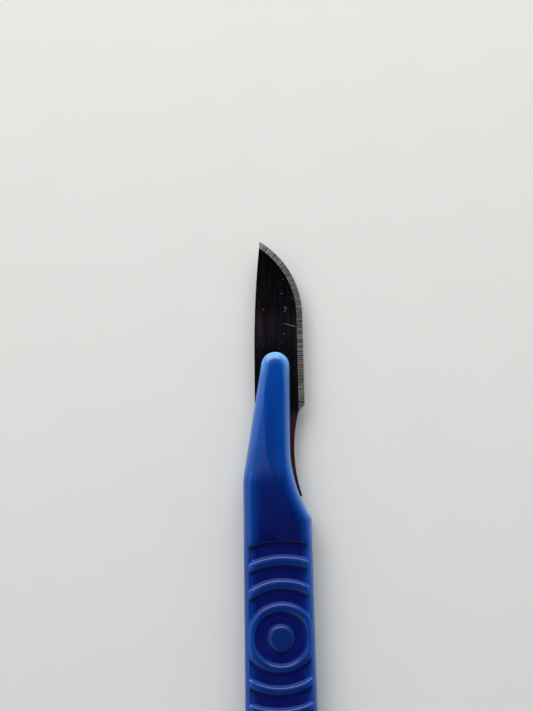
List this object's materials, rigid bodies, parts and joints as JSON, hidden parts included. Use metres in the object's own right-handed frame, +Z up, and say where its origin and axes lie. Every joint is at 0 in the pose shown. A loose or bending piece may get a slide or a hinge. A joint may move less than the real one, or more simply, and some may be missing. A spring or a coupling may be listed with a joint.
{
  "type": "disposable scalpel",
  "caption": "Disposable scalpel with a curved-belly blade moulded into a flat blue plastic handle that has a grooved thumb grip.",
  "frame": {"origin": "on the resting plane, straight below the centre of the thumb button, in the middle of the button on the back face", "axes": "+Y along the handle to the blade's point, +X to the cutting edge, +Z up, square to the blade's flat"},
  "size_m": [0.0108, 0.145, 0.005],
  "materials": {
    "blade_steel": "rolled carbon steel, bright and dark, with a finely ground edge",
    "handle_plastic": "blue moulded plastic, glossy"
  },
  "bodies": {
    "root": {"blade": "blade_steel", "handle": "handle_plastic"}
  },
  "joints": []
}
